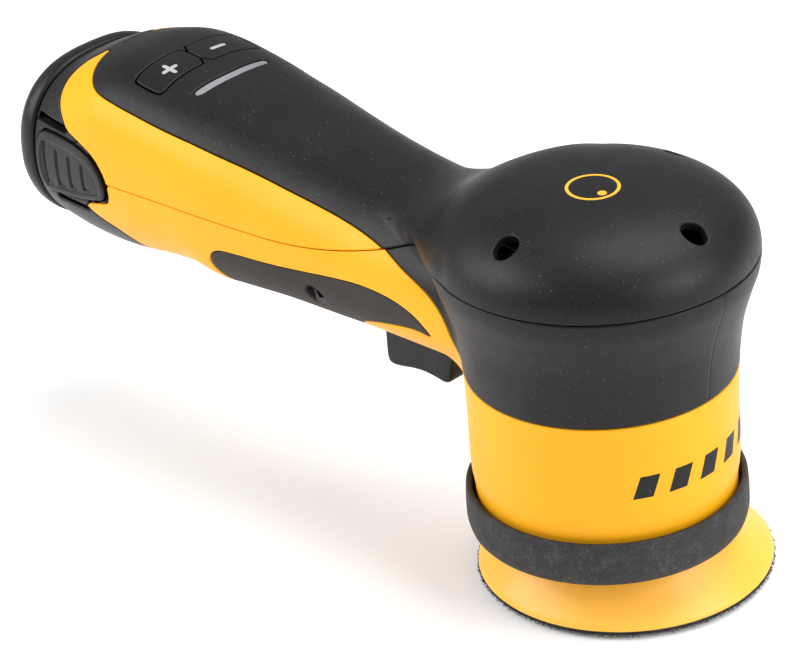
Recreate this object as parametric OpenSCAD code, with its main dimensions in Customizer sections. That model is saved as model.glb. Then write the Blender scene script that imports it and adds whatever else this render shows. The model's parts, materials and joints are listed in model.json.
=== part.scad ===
// Cordless orbital sander: pistol-free stick handle, round drive head, 77 mm backing pad.
// Frame: the motor axis is Z, the pad's working face is z = 0, the handle runs towards -X.

/* [Head] */
// Radius of the yellow body above the pad
body_r = 34.5; // [33.5:0.25:35.5]
// Largest radius of the head, where the cap meets the band
cap_r = 41; // [40:0.25:42]
// Height of the cap's crown above the pad face
cap_top = 112; // [110:0.5:113]
// Height where the dome of the cap starts
dome_z = 92; // [90:0.5:94]
// Height of the line between the yellow body and the black band
band_z = 60.7; // [58:0.1:63]
// Distance of the cap screws from the motor axis
cap_screw_r = 32; // [31:0.5:33]
// Radius of the cap's screw holes
cap_hole_r = 3.3; // [3:0.1:3.6]

/* [Handle] */
// Half width of the handle at its fattest point
grip_w = 30.7; // [30:0.1:31.5]
// Height of the handle's fattest point above the pad face
grip_top = 110.3; // [109.5:0.1:111]
// Half width of the neck that joins the head
neck_w = 26.6; // [26.2:0.1:27.2]
// Wall thickness of the shells
wall = 2.5; // [2.2:0.1:2.8]
// Thickness of the soft layer moulded over the shells
soft_t = 1.2; // [0.9:0.1:1.5]

/* [Pad] */
// Radius of the pad's working face
pad_r = 38.5; // [37.5:0.5:38.5]
// Height where the pad's conical flank ends under the skirt ring
pad_h = 14.8; // [13.6:0.2:15]
// Thickness of the hook facing
hook_t = 1.6; // [1.2:0.1:1.8]
// Distance between the motor axis and the pad axis, half of the orbit
orbit = 6; // [3:0.5:6]

/* [Keys and trigger] */
// Travel room left round a key
key_gap = 0.35; // [0.25:0.05:0.5]
// Width of the trigger paddle
trigger_w = 15; // [13:0.5:16]
// Radius of the trigger's hinge pin
pin_r = 1.5; // [1.2:0.1:1.8]
// Radial clearance of running fits
run_fit = 0.05; // [0.02:0.01:0.1]

/* [Battery] */
// Radius of one cell
cell_r = 9.1; // [8.8:0.1:9.3]
// Length of one cell
cell_l = 65; // [63:0.5:65]
// Outer radius of the battery's stick inside the handle
stick_r = 21.5; // [21.2:0.1:21.8]
// Height of the stick's axis above the pad face
stick_z = 79.5; // [79:0.25:80]
// Gap between the battery and the handle
battery_gap = 0.4; // [0.3:0.05:0.6]

/* [Hidden] */

// Rows of the handle: x, half width, lowest z, highest z, squareness of the upper half
rows = [
    [-181.5, grip_w - 2.4, 54, grip_top - 7.5, 2.5],
    [-176, grip_w - 1.7, 52.8, grip_top - 5.1, 2.5],
    [-171, grip_w - 1.2, 51.9, grip_top - 2.9, 2.5],
    [-165, grip_w - 0.7, 51.3, grip_top - 1.4, 2.65],
    [-156, grip_w - 0.1, 51, grip_top, 2.9],
    [-146, grip_w, 51.2, grip_top - 0.2, 2.9],
    [-130, grip_w - 0.7, 51.4, grip_top - 2.2, 2.75],
    [-112, grip_w - 1.8, 51.6, grip_top - 4.8, 2.5],
    [-95, neck_w + 1, 51.9, grip_top - 7.5, 2.2],
    [-78, neck_w, 52.3, grip_top - 10.8, 2.1],
    [-62, neck_w - 0.2, 53, grip_top - 13.3, 2.05],
    [-45, neck_w + 0.2, 53.4, grip_top - 14.3, 2.05],
    [-25, neck_w + 0.8, 53.6, grip_top - 14.5, 2.05],
    [0, neck_w + 0.8, 53.6, grip_top - 14.5, 2.05]];
slice = 0.02;
// Steps round the handle, round the head and up the dome: outer skin, inner face
outer_steps = [40, 52, 8];
inner_steps = [24, 36, 4];

// Flank of the head below the dome: radius, height
body_floor_z = 24.2;
flank = [
    [body_r - 0.9, body_floor_z], [body_r - 0.9, 28.6], [body_r - 0.2, 34],
    [body_r, 50], [body_r + 0.3, band_z], [body_r + 0.9, 68],
    [cap_r - 4.3, 76], [cap_r - 2.2, 83], [cap_r - 0.4, 88.5]];
dome_power = 2.4;

// Side outlines of the regions, as x and z
seam_line = [[-200, 80.6], [-136, 80.6], [-110, 79.9], [-92, 79.6], [-80, 80.2],
    [-66, 82.6], [-52, 86.2], [-44, 89.2]];
band_line = [[-56, 90], [-50, 86.2], [-43.1, 83.6], [-37.5, 82], [-32.3, 80],
    [-28.5, 77.2], [-26.3, 73.9], [-25.4, 68], [-24.3, 62.8], [-19.1, 61.6],
    [-12, band_z + 0.3], [0, band_z], [60, band_z]];
cap_line = [[-44, 89.2], [-36, 91.6], [-29, 92.5], [60, 92.5]];
cover_line = [[-176, 130], [-176, 109.8], [-168.5, 108.1], [-165.4, 106.5], [-161, 105],
    [-157.5, 104], [-145, 102.4],
    [-134.8, 100.7], [-125.3, 99.2], [-114.7, 97.5], [-103.3, 95.7], [-94.5, 94.1],
    [-84.4, 92.2], [-66, 89.6], [-40, 85.6]];
inlay_outline = [[-115, 40], [-115.6, 62], [-115.2, 65], [-113.4, 68.4], [-110.9, 70.6],
    [-106, 71.3], [-92, 71.9], [-80, 73.2], [-68, 74.9], [-57.4, 76], [-48, 75.6],
    [-42, 74.3], [-37.1, 72], [-34.2, 67.6], [-38.8, 67], [-45, 66.9], [-53, 65.2],
    [-60, 62.6], [-65, 60], [-68.5, 56], [-69.5, 50], [-69.5, 40]];
rear_line = [[-166.5, 130], [-166.5, 109], [-169, 107.4], [-172, 105.4], [-173.6, 102],
    [-172.6, 98.6], [-170.5, 96], [-168.5, 94], [-165.5, 91.3], [-159.5, 90],
    [-153.8, 87.6], [-150.4, 83.4], [-149.3, 79.9], [-150, 76.4], [-153.2, 73.7],
    [-160, 71.4], [-159.6, 69.4], [-156, 66.8], [-150.5, 64], [-148, 58], [-147.5, 30]];

// Keys and light bar in plan
key_front_x = -136.4;
key_rear_x = -146.8;
key_y = 18.6;
key_floor_z = 104.6;
bar_x = -128;
bar_half = 13.4;
bar_w = 3.6;

// Drive
mount_r = 27.3;
mount_floor_z = 30;
motor_top_z = 76;
stator_r = 25.2;
stator_low = 42;
stator_high = 66;
rotor_r = 16.4;
shaft_top_r = 3;
shaft_low_r = 5;
slots = 9;
magnets = 6;
lower_bearing_r = 11;
upper_bearing_r = 8;
eccentric_low = 17;
eccentric_high = 29.7;
plate_low = 25.3;
spindle_bearing_r = 10;
spindle_r = 4;
weight_r = 28;

// Trigger
pivot_x = -46;
pivot_z = 61;
lug_foot = 2.6;
slot_top_z = 62;
board_z = 81;
power_lead_y = 4;
plate_x = -145;
plate_l = 17;
plate_half = 18.6;
lug_in = trigger_w / 2 + 0.6;

// Battery
cell_ring = cell_r / cos(30) + 0.1;
cell_front_x = -114.5;
stick_front_x = -108;
battery_rear_x = -181.3;
latch_depth = 3.2;
latch_room = 2.2;

function flip(list) = [for (i = [len(list) - 1 : -1 : 0]) list[i]];
function tail(list) = [for (i = [1 : len(list) - 1]) list[i]];
function moved(list, dx) = [for (p = list) [p[0] + dx, p[1]]];

function steps_for(inset) = inset > soft_t ? inner_steps : outer_steps;

// One slice of the handle, drawn as a superellipse and standing across X
module slice_at(row, inset) {
    steps = steps_for(inset)[0];
    mid = (row[2] + row[3]) / 2;
    half_w = row[1] - inset;
    half_h = (row[3] - row[2]) / 2 - inset;
    translate([row[0], 0, mid])
        rotate([90, 0, 90])
            linear_extrude(slice)
                polygon([for (i = [0 : steps - 1])
                    let (a = 360 * i / steps, c = cos(a), s = sin(a),
                         power = s > 0 ? 2 / row[4] : 1)
                    [half_w * sign(c) * pow(abs(c), power),
                     half_h * sign(s) * pow(abs(s), power)]]);
}

module handle_skin(inset) {
    for (i = [0 : len(rows) - 2])
        hull() {
            slice_at(rows[i], inset);
            slice_at(rows[i + 1], inset);
        }
}

module head_skin(inset) {
    top = cap_top - inset;
    rim = cap_r - inset;
    steps = steps_for(inset);
    dome = [for (i = [0 : steps[2]])
        let (a = 90 * i / steps[2])
        [rim * pow(cos(a), 2 / dome_power),
         dome_z + (top - dome_z) * pow(sin(a), 2 / dome_power)]];
    walls = [for (p = flank) [p[0] - inset, p[1]]];
    rotate_extrude($fn = steps[1])
        polygon(concat([[0, body_floor_z - (inset > 0 ? 1 : 0)]],
            [[walls[0][0], body_floor_z - (inset > 0 ? 1 : 0)]], walls, dome));
}

module skin(inset) {
    handle_skin(inset);
    head_skin(inset);
}

// A side outline pushed right across the tool
module across(outline, width = 140) {
    rotate([90, 0, 0])
        linear_extrude(width, center = true)
            polygon(outline);
}

module in_front_of_battery() {
    across(concat(rear_line, [[60, 20], [60, 130]]));
}

// All that lies under the seam and the cap's lower edge
module low_zone() {
    across(concat(seam_line, tail(cap_line), [[60, 10], [-200, 10]]));
}

module high_zone() {
    across(concat(seam_line, tail(cap_line), [[60, 130], [-200, 130]]));
}

module above_cover_line() {
    across(concat(cover_line, [[60, 84], [60, 130]]));
}

module above_band_line() {
    across(concat([[-56, 100], [60, 100]], flip(band_line)));
}

// What the soft cover and the soft band take away from the shells
module cover_cut() {
    difference() {
        above_cover_line();
        skin(soft_t);
    }
}

module band_cut() {
    difference() {
        above_band_line();
        skin(soft_t);
    }
}

module inlay_cut() {
    difference() {
        across(inlay_outline);
        skin(soft_t);
    }
}

module key_plan(side, grow) {
    near = 0.35 - grow;
    far = key_y + grow;
    front = key_front_x + grow;
    rear = key_rear_x - grow;
    translate([0, 0, key_floor_z - 4])
        linear_extrude(20)
            polygon([[front, side * near], [front, side * 8], [front - 1.2, side * 14],
                [front - 4, side * far], [rear + 3.5, side * far],
                [rear + 0.6, side * 14], [rear, side * 9], [rear, side * near]]);
}

module bar_plan(grow) {
    translate([bar_x, 0, 100])
        linear_extrude(20)
            polygon([[bar_w / 2 + grow, -bar_half + 3], [bar_w / 2 + grow, bar_half - 3],
                [bar_w / 2 - 1.5, bar_half + grow], [-bar_w / 2 - 1.5, bar_half + grow],
                [-bar_w / 2 - grow, bar_half - 3], [-bar_w / 2 - grow, -bar_half + 3],
                [-bar_w / 2 - 1.5, -bar_half - grow], [bar_w / 2 - 1.5, -bar_half - grow]]);
}

module at_cap_screws() {
    for (a = [-90, 0, 90])
        rotate([0, 0, a])
            translate([cap_screw_r, 0, 0])
                children();
}

// A frame on each flank of the neck: its Z runs inward from the skin
module at_handle_screws() {
    for (side = [-1, 1])
        translate([-77, side * 24.5, 66])
            rotate([side * 90, 0, 0])
                children();
}

module trigger_slot(grow) {
    translate([-70 - grow, -trigger_w / 2 - grow, 38])
        cube([30 + 2 * grow, trigger_w + 2 * grow, slot_top_z - 38]);
}

module lower_shell() {
    color([1, 0.74, 0.13])
    difference() {
        union() {
            difference() {
                intersection() {
                    skin(0);
                    in_front_of_battery();
                    low_zone();
                }
                skin(wall);
                band_cut();
                inlay_cut();
            }
            intersection() {
                skin(soft_t + 0.5);
                union() {
                    at_cap_screws()
                        translate([0, 0, 62])
                            cylinder(r = 4.6, h = 26, $fn = 24);
                    at_handle_screws()
                        translate([0, 0, 1])
                            cylinder(r = 5, h = 13, $fn = 24);
                }
            }
        }
        at_cap_screws()
            translate([0, 0, 78])
                cylinder(r = 1.8, h = 12, $fn = 16);
        at_handle_screws() {
            translate([0, 0, -8])
                cylinder(r = 3.5, h = 13, $fn = 24);
            cylinder(r = 2, h = 20, $fn = 16);
        }
        trigger_slot(0.8);
        difference() {
            translate([plate_x - 0.6, -plate_half - 0.6, 40])
                cube([plate_l + 1.2, 2 * plate_half + 1.2, 21]);
            skin(soft_t);
        }
    }
}

module upper_shell() {
    color([1, 0.74, 0.13])
    difference() {
        union() {
            difference() {
                intersection() {
                    skin(0);
                    in_front_of_battery();
                    high_zone();
                }
                skin(wall);
                cover_cut();
            }
            intersection() {
                skin(soft_t + 0.5);
                at_cap_screws()
                    translate([0, 0, 90.4])
                        cylinder(r = 4.6, h = 26, $fn = 24);
            }
        }
        at_cap_screws() {
            translate([0, 0, 80])
                cylinder(r = 1.8, h = 30, $fn = 16);
            translate([0, 0, 93])
                cylinder(r = cap_hole_r, h = 30, $fn = 32);
        }
        key_plan(1, key_gap);
        key_plan(-1, key_gap);
        bar_plan(0);
    }
}

module top_cover() {
    color([0.16, 0.16, 0.17])
    difference() {
        intersection() {
            skin(0);
            high_zone();
            above_cover_line();
            in_front_of_battery();
        }
        skin(soft_t);
        at_cap_screws()
            translate([0, 0, 93])
                cylinder(r = cap_hole_r, h = 30, $fn = 32);
        key_plan(1, key_gap);
        key_plan(-1, key_gap);
        bar_plan(0);
    }
}

module head_band() {
    color([0.15, 0.15, 0.16])
    difference() {
        intersection() {
            skin(0);
            low_zone();
            above_band_line();
        }
        skin(soft_t);
    }
}

module grip_inlay() {
    color([0.28, 0.26, 0.25])
    difference() {
        intersection() {
            handle_skin(0);
            across(inlay_outline);
        }
        handle_skin(soft_t);
        head_skin(0);
        at_handle_screws()
            translate([0, 0, -8])
                cylinder(r = 3.5, h = 13, $fn = 24);
        trigger_slot(0.8);
    }
}

module skirt_ring() {
    color([0.2, 0.2, 0.21])
    rotate_extrude($fn = 96)
        polygon([[31.2, 16.6], [33.8, 15.6], [35.5, 16.8], [36.4, 19.5], [36.4, 24],
            [36, 28.3], [35.5, 28.7], [34.4, 28.5], [34.1, 24], [31.2, 24]]);
}

module rating_plate() {
    color([0.85, 0.8, 0.75])
    intersection() {
        difference() {
            handle_skin(soft_t - 0.35);
            handle_skin(soft_t);
        }
        translate([plate_x, -plate_half, 40])
            cube([plate_l, 2 * plate_half, 21]);
    }
}

module light_bar() {
    color([0.75, 0.77, 0.78])
    intersection() {
        difference() {
            handle_skin(0.35);
            handle_skin(wall);
        }
        bar_plan(0);
    }
}

module board(size, at) {
    color([0.1, 0.4, 0.2])
    translate(at)
        cube(size);
}

module key_board() {
    board([22, 28, 1.2], [-150, -14, 101.6]);
    color([0.2, 0.2, 0.2])
    for (side = [-1, 1])
        translate([-141, side * 9, 102.8])
            cylinder(r = 2, h = 0.5, $fn = 24);
}

module controller_board() {
    board([34, 38, 1.6], [-84, -19, board_z]);
    color([0.15, 0.15, 0.16]) {
        for (i = [0 : 2], side = [-1, 1])
            translate([-80 + 8 * i, side * 9 - 3, board_z + 1.6])
                cube([6, 6, 1.2]);
        for (side = [-1, 1])
            translate([-57, side * 11, board_z + 1.6])
                cylinder(r = 4, h = 4.6, $fn = 32);
        translate([-75, -7, board_z - 1.6])
            cube([14, 14, 1.6]);
    }
}

module trigger_switch() {
    color([0.13, 0.13, 0.14])
    translate([-72, -6, 65])
        cube([20, 12, 13.5]);
    color([0.7, 0.2, 0.15])
    translate([-66, 0, 62.6])
        cylinder(r = 2.2, h = 2.4, $fn = 24);
}

// Two lugs on a bridge that carry the trigger's pin
module trigger_bracket() {
    color([0.2, 0.2, 0.21])
    difference() {
        union() {
            for (side = [-1, 1])
                translate([pivot_x - 4, side > 0 ? lug_in : -lug_in - 3, pivot_z - lug_foot])
                    cube([8, 3, lug_foot + 6]);
            translate([pivot_x - 4, -lug_in - 3, pivot_z + 5])
                cube([8, 2 * lug_in + 6, 2]);
        }
        translate([pivot_x, 30, pivot_z])
            rotate([90, 0, 0])
                cylinder(r = pin_r, h = 60, $fn = 32);
    }
}

module trigger_pin() {
    color([0.75, 0.75, 0.77])
    translate([pivot_x, lug_in + 3, pivot_z])
        rotate([90, 0, 0])
            cylinder(r = pin_r, h = 2 * lug_in + 6, $fn = 32);
}

// Coil spring swept along a helix, standing on Z
module coil_spring(coil_r, wire_r, turns, height) {
    steps = 14 * turns;
    sides = 8;
    rings = [for (i = [0 : steps])
        let (a = 360 * turns * i / steps, z = wire_r + (height - 2 * wire_r) * i / steps)
        [for (j = [0 : sides - 1])
            let (b = 360 * j / sides, r = coil_r + wire_r * cos(b))
            [r * cos(a), r * sin(a), z + wire_r * sin(b)]]];
    side_faces = [for (i = [0 : steps - 1], j = [0 : sides - 1])
        let (k = (j + 1) % sides)
        [i * sides + j, (i + 1) * sides + j, (i + 1) * sides + k, i * sides + k]];
    first_cap = [for (j = [0 : sides - 1]) j];
    last_cap = [for (j = [sides - 1 : -1 : 0]) steps * sides + j];
    polyhedron([for (ring = rings, p = ring) p], concat(side_faces, [first_cap, last_cap]));
}

module trigger_spring() {
    color([0.8, 0.8, 0.8])
    translate([-60, 0, 60.2])
        coil_spring(2.2, 0.35, 3.5, 4.6);
}

module trigger() {
    color([0.13, 0.13, 0.14])
    difference() {
        union() {
            translate([0, trigger_w / 2, 0])
                rotate([90, 0, 0])
                    linear_extrude(trigger_w)
                        polygon(concat(
                            [for (a = [180 : 15 : 270]) [-65 + 4 * cos(a), 46.3 + 4 * sin(a)]],
                            [[-55, 42.9], [-46, 44.6], [-42.6, 46.4], [-42.2, 52],
                             [pivot_x + 3.6, pivot_z], [pivot_x - 4, pivot_z],
                             [pivot_x - 8, 60], [-66, 60], [-69, 54]]));
            translate([pivot_x, trigger_w / 2, pivot_z])
                rotate([90, 0, 0])
                    cylinder(r = 3.6, h = trigger_w, $fn = 48);
        }
        translate([pivot_x, trigger_w, pivot_z])
            rotate([90, 0, 0])
                cylinder(r = pin_r + run_fit, h = 2 * trigger_w, $fn = 48);
        translate([-63.5, -trigger_w / 2 + 2, 50])
            cube([11, trigger_w - 4, 9]);
    }
}

module key(side) {
    color([0.12, 0.12, 0.13])
    intersection() {
        handle_skin(-0.1);
        key_plan(side, 0);
        translate([-160, -30, key_floor_z])
            cube([40, 60, 20]);
    }
}

module key_plus() {
    key(-1);
}

module key_minus() {
    key(1);
}

module terminal_block() {
    color([0.1, 0.1, 0.1])
    translate([-105, -13, 71])
        cube([5, 26, 17]);
    color([0.85, 0.65, 0.3])
    for (y = [-9, -3, 3, 9])
        translate([-112.8, y - 0.4, 75.5])
            cube([7.8, 0.8, 8]);
}

module rod(a, b, r) {
    d = b - a;
    len_d = norm(d);
    translate(a)
        rotate([0, acos(d[2] / len_d), atan2(d[1], d[0])])
            cylinder(r = r, h = len_d, $fn = 24);
}

module leads() {
    for (y = [-power_lead_y, power_lead_y])
        color(y < 0 ? [0.7, 0.1, 0.1] : [0.1, 0.1, 0.1])
            rod([-99.8, y, 83], [-84.2, y, board_z + 1], 1.2);
    for (y = [-6, 0, 6])
        color([0.9, 0.75, 0.1])
            rod([-49.8, y, board_z + 1], [-22, y, 80.6], 1.2);
}

module screw(head_r, head_h, shank_r, shank_l) {
    color([0.25, 0.25, 0.27])
    difference() {
        union() {
            cylinder(r = head_r, h = head_h, $fn = 32);
            translate([0, 0, -shank_l])
                cylinder(r = shank_r, h = shank_l, $fn = 24);
        }
        translate([0, 0, head_h - 1.4])
            cylinder(r = head_r * 0.5, h = 3, $fn = 6);
    }
}

module cap_screws() {
    at_cap_screws()
        translate([0, 0, 93])
            screw(3, 2.6, 1.5, 14.8);
}

module handle_screws() {
    at_handle_screws()
        translate([0, 0, 5])
            rotate([180, 0, 0])
                screw(3.2, 2.6, 1.7, 8.6);
}

module motor_mount() {
    color([0.72, 0.73, 0.75])
    rotate_extrude($fn = 96)
        polygon([[9, mount_floor_z], [31, mount_floor_z], [31, 32.5], [mount_r, 32.5],
            [mount_r, motor_top_z], [stator_r, motor_top_z], [stator_r, 33.5],
            [14, 33.5], [14, 37], [lower_bearing_r, 37], [lower_bearing_r, 31], [9, 31]]);
}

module motor_end_bell() {
    color([0.7, 0.71, 0.73])
    rotate_extrude($fn = 96)
        polygon([[6, motor_top_z + 3], [mount_r, motor_top_z + 3], [mount_r, motor_top_z],
            [11, motor_top_z], [11, 73], [upper_bearing_r, 73],
            [upper_bearing_r, motor_top_z + 2], [6, motor_top_z + 2]]);
}

module stator() {
    color([0.45, 0.46, 0.48])
    difference() {
        translate([0, 0, stator_low])
            cylinder(r = stator_r, h = stator_high - stator_low, $fn = 96);
        translate([0, 0, stator_low - 1])
            cylinder(r = rotor_r + 0.5, h = 30, $fn = 96);
        for (i = [0 : slots - 1])
            rotate([0, 0, 360 / slots * (i + 0.5)])
                translate([rotor_r - 2, -1.4, stator_low - 1])
                    cube([8.5, 2.8, 30]);
    }
}

module windings() {
    color([0.8, 0.42, 0.2])
    for (i = [0 : slots - 1], low = [stator_low - 4.6, stator_high])
        rotate([0, 0, 360 / slots * i])
            translate([18.2, -3.4, low])
                cube([5.6, 6.8, 4.6]);
}

module bearing(outer, inner, low, high) {
    color([0.8, 0.81, 0.83])
    rotate_extrude($fn = 72)
        polygon([[inner, low], [outer, low], [outer, high], [inner, high]]);
}

module upper_bearing() {
    bearing(upper_bearing_r, shaft_top_r + run_fit, 73, motor_top_z + 2);
}

module lower_bearing() {
    bearing(lower_bearing_r, shaft_low_r + run_fit, 31, 37);
}

module motor_shaft() {
    color([0.82, 0.83, 0.85])
    rotate_extrude($fn = 72)
        polygon([[0, 25.5], [shaft_low_r, 25.5], [shaft_low_r, 38.5],
            [shaft_top_r, 38.5], [shaft_top_r, 80], [0, 80]]);
}

module rotor_core() {
    color([0.5, 0.51, 0.53])
    bearing(13, shaft_top_r, stator_low, stator_high);
}

module rotor_magnets() {
    color([0.6, 0.61, 0.62])
    for (i = [0 : magnets - 1])
        rotate([0, 0, 360 / magnets * i])
            rotate_extrude(angle = 360 / magnets - 6, $fn = 96)
                polygon([[13, stator_low], [rotor_r, stator_low],
                    [rotor_r, stator_high], [13, stator_high]]);
}

module eccentric() {
    color([0.66, 0.67, 0.7])
    difference() {
        union() {
            translate([0, orbit, eccentric_low])
                cylinder(r = 13, h = eccentric_high - eccentric_low, $fn = 72);
            translate([0, 0, plate_low])
                cylinder(r = 12, h = eccentric_high - plate_low, $fn = 72);
        }
        translate([0, orbit, eccentric_low - 1])
            cylinder(r = spindle_bearing_r, h = 8.2, $fn = 72);
        translate([0, orbit, eccentric_low])
            cylinder(r = 7, h = plate_low - eccentric_low, $fn = 72);
        translate([0, 0, 25.5])
            cylinder(r = shaft_low_r, h = 10, $fn = 72);
    }
}

module counterweight() {
    color([0.6, 0.55, 0.4])
    difference() {
        translate([0, 0, 19])
            linear_extrude(eccentric_high - 19)
                intersection() {
                    circle(r = weight_r, $fn = 96);
                    polygon([[0, 0], [-30, -16], [-30, -40], [30, -40], [30, -16]]);
                }
        translate([0, orbit, 10])
            cylinder(r = 13, h = 30, $fn = 72);
        translate([0, 0, plate_low])
            cylinder(r = 12, h = 30, $fn = 72);
    }
}

module spindle_bearing() {
    translate([0, orbit, 0])
        bearing(spindle_bearing_r, spindle_r + run_fit, 17.6, 24);
}

module spindle() {
    color([0.78, 0.79, 0.81])
    translate([0, orbit, 0])
        rotate_extrude($fn = 72)
            polygon([[2.5, 9], [6, 9], [6, 17.3], [spindle_r, 17.3], [spindle_r, 24.1],
                [2, 24.1], [2, 16.4], [0, 16.4], [0, 15], [2.5, 15]]);
}

module spindle_screw() {
    translate([0, orbit, 24.1])
        screw(5, 0.9, 2, 7.4);
}

module pad_hub() {
    color([0.3, 0.3, 0.32])
    translate([0, orbit, 0])
        rotate_extrude($fn = 96)
            polygon([[6, 9], [26, 9], [26, 12.5], [10, 12.5], [10, 14], [6, 14]]);
}

module pad_screw() {
    translate([0, orbit, 9])
        rotate([180, 0, 0])
            screw(7, 3, 2.5, 5.6);
}

module pad_body() {
    color([1, 0.76, 0.2])
    translate([0, orbit, 0])
        rotate_extrude($fn = 120)
            polygon([[8.5, hook_t], [pad_r, hook_t], [pad_r, hook_t + 0.7],
                [pad_r - 2, 4.2], [pad_r - 5.6, 7.6], [pad_r - 8.8, 11.2],
                [pad_r - 10.6, 14], [pad_r - 11.4, pad_h], [10, pad_h], [10, 12.5],
                [26, 12.5], [26, 9], [8.5, 9]]);
}

module hook_face() {
    color([0.16, 0.15, 0.15])
    translate([0, orbit, 0])
        rotate_extrude($fn = 120)
            polygon([[8.5, 0], [pad_r - 0.1, 0], [pad_r - 0.1, hook_t], [8.5, hook_t]]);
}

module behind_rear_line(gap) {
    across(concat(moved(rear_line, -gap), [[-250, 30], [-250, 130]]));
}

module latch_zone(grow, side) {
    translate([0, side * 35, 0])
        across([for (p = [[-178.6, 71.4], [-162, 73.2], [-156, 75], [-152.8, 78.4],
                [-152.4, 82], [-154.4, 85.6], [-158.4, 88.2], [-178.6, 89]])
                [p[0] + grow * (p[0] > -165 ? 1 : -1), p[1] + grow * (p[1] > 80 ? 1 : -1)]],
            40);
}

module battery_case() {
    color([0.13, 0.13, 0.14])
    difference() {
        union() {
            intersection() {
                handle_skin(0);
                behind_rear_line(battery_gap);
                translate([battery_rear_x, -50, 30])
                    cube([40, 100, 100]);
            }
            translate([-170, 0, stick_z])
                rotate([0, 90, 0])
                    cylinder(r = stick_r, h = stick_front_x + 170, $fn = 64);
        }
        translate([battery_rear_x - 1, 0, stick_z])
            rotate([0, 90, 0])
                cylinder(r = stick_r - 1.5, h = stick_front_x - battery_rear_x - 0.5, $fn = 64);
        for (y = [-9, -3, 3, 9])
            translate([-112, y - 1.2, 75])
                cube([10, 2.4, 9]);
        for (side = [-1, 1])
            difference() {
                latch_zone(0.4, side);
                handle_skin(latch_depth + latch_room);
            }
    }
}

// The closing cap: a straight rim that rounds over into a flat back
module battery_end_cap() {
    rim = rows[0];
    turn = 6;
    color([0.12, 0.12, 0.13])
    difference() {
        for (i = [-1 : 7])
            hull()
                for (j = [i, i + 1])
                    let (a = 90 * max(j, 0) / 8)
                    slice_at([j < 0 ? -182 : -185.2 - turn * sin(a),
                              rim[1], rim[2], rim[3], rim[4]],
                        -0.4 + (turn + 1) * (1 - cos(a)));
        translate([-184, 0, stick_z])
            rotate([0, 90, 0])
                cylinder(r = 18, h = 5, $fn = 48);
    }
}

module battery_cells() {
    color([0.2, 0.45, 0.7])
    for (a = [90, 210, 330])
        translate([cell_front_x - cell_l, cell_ring * cos(a), stick_z + cell_ring * sin(a)])
            rotate([0, 90, 0])
                cylinder(r = cell_r, h = cell_l, $fn = 48);
}

module battery_board() {
    board([1, 26, 26], [-114.3, -13, 66.5]);
}

module battery_contacts() {
    color([0.85, 0.65, 0.3])
    for (y = [-9, -3, 3, 9], side = [-1, 1])
        translate([-113.2, y + side * 1 - 0.3, 76])
            cube([3, 0.6, 7]);
}

module latch(side) {
    color([0.14, 0.14, 0.15])
    intersection() {
        difference() {
            handle_skin(-0.7);
            handle_skin(latch_depth);
        }
        latch_zone(0, side);
    }
}

module latch_left() {
    latch(1);
}

module latch_right() {
    latch(-1);
}

lower_shell();
upper_shell();
top_cover();
head_band();
grip_inlay();
skirt_ring();
rating_plate();
light_bar();
key_board();
controller_board();
trigger_switch();
trigger_bracket();
trigger_pin();
trigger_spring();
terminal_block();
leads();
cap_screws();
handle_screws();
motor_mount();
motor_end_bell();
stator();
windings();
upper_bearing();
lower_bearing();
motor_shaft();
rotor_core();
rotor_magnets();
eccentric();
counterweight();
spindle_bearing();
spindle();
spindle_screw();
pad_hub();
pad_screw();
pad_body();
hook_face();
trigger();
key_plus();
key_minus();
battery_case();
battery_end_cap();
battery_cells();
battery_board();
battery_contacts();
latch_left();
latch_right();
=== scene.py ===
"""Looks of the cordless orbital sander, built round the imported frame.

Shapes are worked out in millimetres and turned into metres by put_mesh().
The outer skin is one smooth field: a superellipse handle blended into a round head.
Its surface is meshed once, then cut along the parting lines into shells that are closed solids.
"""
import json
import math
import bmesh
import bpy
import numpy as np
from mathutils import Matrix


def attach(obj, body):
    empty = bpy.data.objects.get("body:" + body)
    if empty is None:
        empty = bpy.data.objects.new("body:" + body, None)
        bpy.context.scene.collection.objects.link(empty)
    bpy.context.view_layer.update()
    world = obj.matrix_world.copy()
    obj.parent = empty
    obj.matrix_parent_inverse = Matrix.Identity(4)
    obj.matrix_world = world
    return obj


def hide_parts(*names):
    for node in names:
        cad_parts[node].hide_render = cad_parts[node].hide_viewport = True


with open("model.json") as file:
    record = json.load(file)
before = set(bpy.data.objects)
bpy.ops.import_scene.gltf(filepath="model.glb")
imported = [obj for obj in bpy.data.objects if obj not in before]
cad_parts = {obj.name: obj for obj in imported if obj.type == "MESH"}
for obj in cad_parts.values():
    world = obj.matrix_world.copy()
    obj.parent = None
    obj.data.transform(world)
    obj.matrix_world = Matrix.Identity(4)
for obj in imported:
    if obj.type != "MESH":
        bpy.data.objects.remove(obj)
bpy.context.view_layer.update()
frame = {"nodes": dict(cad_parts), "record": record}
rng = np.random.default_rng(7)

MM = 0.001
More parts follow.
